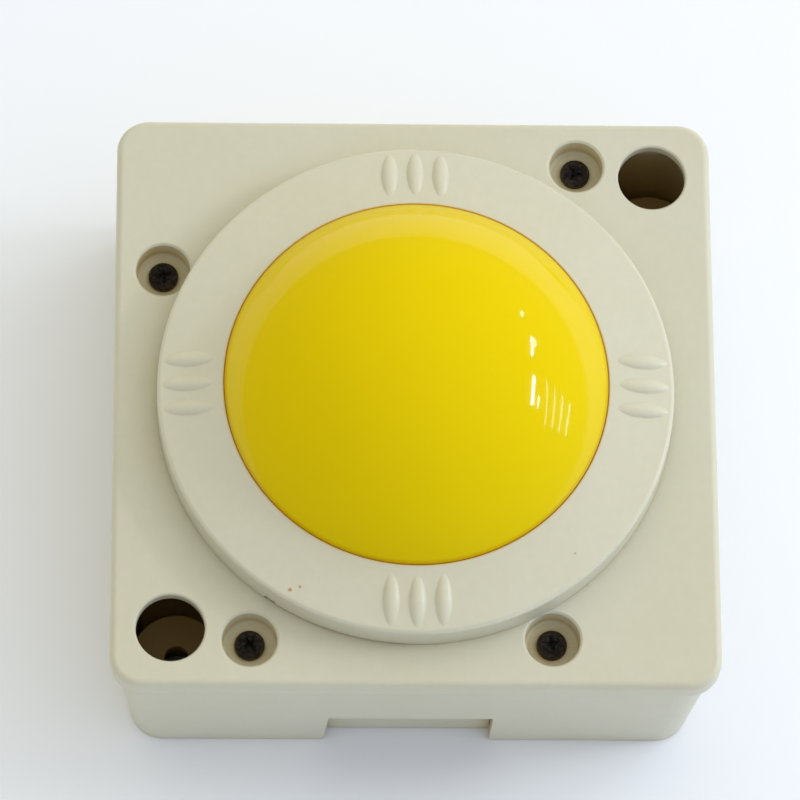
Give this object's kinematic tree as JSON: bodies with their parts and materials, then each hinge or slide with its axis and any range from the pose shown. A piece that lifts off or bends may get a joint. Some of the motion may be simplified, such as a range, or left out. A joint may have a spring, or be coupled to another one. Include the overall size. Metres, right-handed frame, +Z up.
{
  "type": "quiz buzzer",
  "caption": "Square tabletop buzzer box with a large spring-loaded translucent push dome in a twist-lock ring, switch and lamp inside",
  "frame": {"origin": "centre of the box's underside, on the table", "axes": "+Z up, out of the dome, the dome's press axis reversed; +Y to the back; the cable slot is in the front wall at -Y"},
  "size_m": [0.15, 0.15, 0.0935],
  "materials": {
    "box_plastic": "satin moulded",
    "ring_plastic": "satin moulded",
    "dome_plastic": "polished translucent",
    "white_plastic": "plain moulded",
    "black_plastic": "plain moulded",
    "switch_plastic": "plain moulded",
    "button_plastic": "plain moulded",
    "block_plastic": "plain moulded",
    "black_screw": "black oxide",
    "zinc_screw": "zinc plated",
    "spring_steel": "drawn",
    "contact_brass": "stamped",
    "lamp_lens": "clear moulded",
    "switch_wire": "insulation",
    "lamp_wire": "insulation"
  },
  "bodies": {
    "housing": {"base_box": "box_plastic", "lid": "box_plastic", "lid_screws": "black_screw", "button_housing": "ring_plastic", "barrel_nut": "black_plastic", "return_spring": "spring_steel", "switch_holder": "black_plastic", "switch_case": "switch_plastic", "switch_cover": "switch_plastic", "switch_terminals": "contact_brass", "lever_pin": "spring_steel", "switch_screws": "zinc_screw", "lamp_socket": "white_plastic", "lamp_contacts": "contact_brass", "led_lamp_base": "white_plastic", "led_lamp_lens": "lamp_lens", "terminal_block": "block_plastic", "clamp_screws": "zinc_screw", "block_screws": "zinc_screw", "switch_leads": "switch_wire", "lamp_leads": "lamp_wire"},
    "dome": {"dome_cap": "dome_plastic", "light_diffuser": "white_plastic", "plunger": "white_plastic"},
    "bezel": {"bezel_ring": "ring_plastic"},
    "lever": {"switch_lever": "spring_steel"},
    "button": {"switch_button": "button_plastic"}
  },
  "joints": [
    {"name": "dome_press", "type": "slide", "parent": "housing", "child": "dome", "axis": [0, 0, -1], "range_m": [0, 0.004], "stiffness_N_per_m": 600, "springref_m": -0.006, "deforming": ["return_spring"]},
    {"name": "bezel_twist", "type": "hinge", "parent": "housing", "child": "bezel", "pos_m": [0, 0, 0.058], "axis": [0, 0, 1], "range_deg": [0, 26]},
    {"name": "lever_swing", "type": "hinge", "parent": "housing", "child": "lever", "pos_m": [0.0345, 0, 0.0332], "axis": [0, -1, 0], "range_deg": [0, 8.6]},
    {"name": "switch_click", "type": "slide", "parent": "housing", "child": "button", "axis": [0, 0, -1], "range_m": [0, 0.0012]}
  ],
  "couplings": [
    {"joint": "lever_swing", "follows": "dome_press", "rad_per_m": 36.35},
    {"joint": "switch_click", "follows": "dome_press", "ratio": 0.265}
  ]
}
